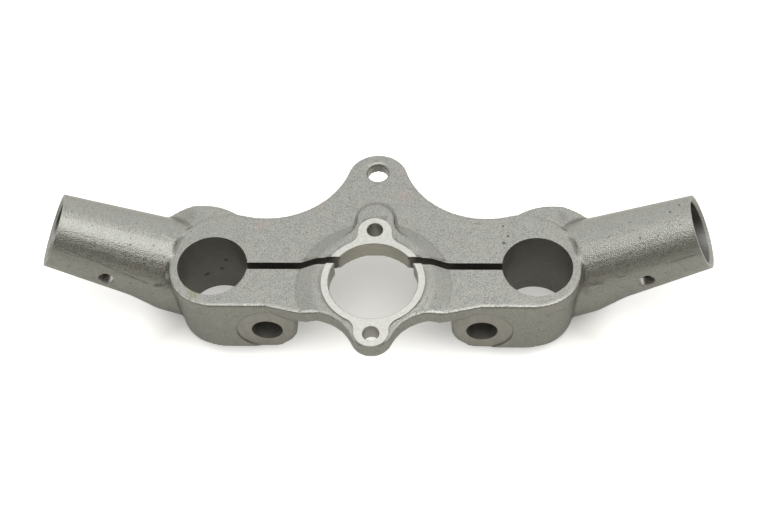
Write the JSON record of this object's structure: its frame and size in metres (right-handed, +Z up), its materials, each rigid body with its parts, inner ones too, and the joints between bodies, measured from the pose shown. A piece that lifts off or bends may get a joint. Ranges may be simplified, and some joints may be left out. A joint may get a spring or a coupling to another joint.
{
  "type": "motorcycle triple clamp",
  "caption": "Cast upper fork clamp with two split fork-leg bores, a machined stem collar, angled handlebar sockets and a drilled rear lug.",
  "frame": {"origin": "centre of the steering stem bore, on the machined face of the stem collar", "axes": "+X from one fork leg to the other, to the right as seen by the rider; +Y to the rear, towards the drilled lug; +Z up, along the stem"},
  "size_m": [0.277, 0.0986, 0.0537],
  "materials": {
    "cast_iron": "blasted as-cast skin with bright machined faces"
  },
  "bodies": {
    "root": {"clamp_casting": "cast_iron"}
  },
  "joints": []
}
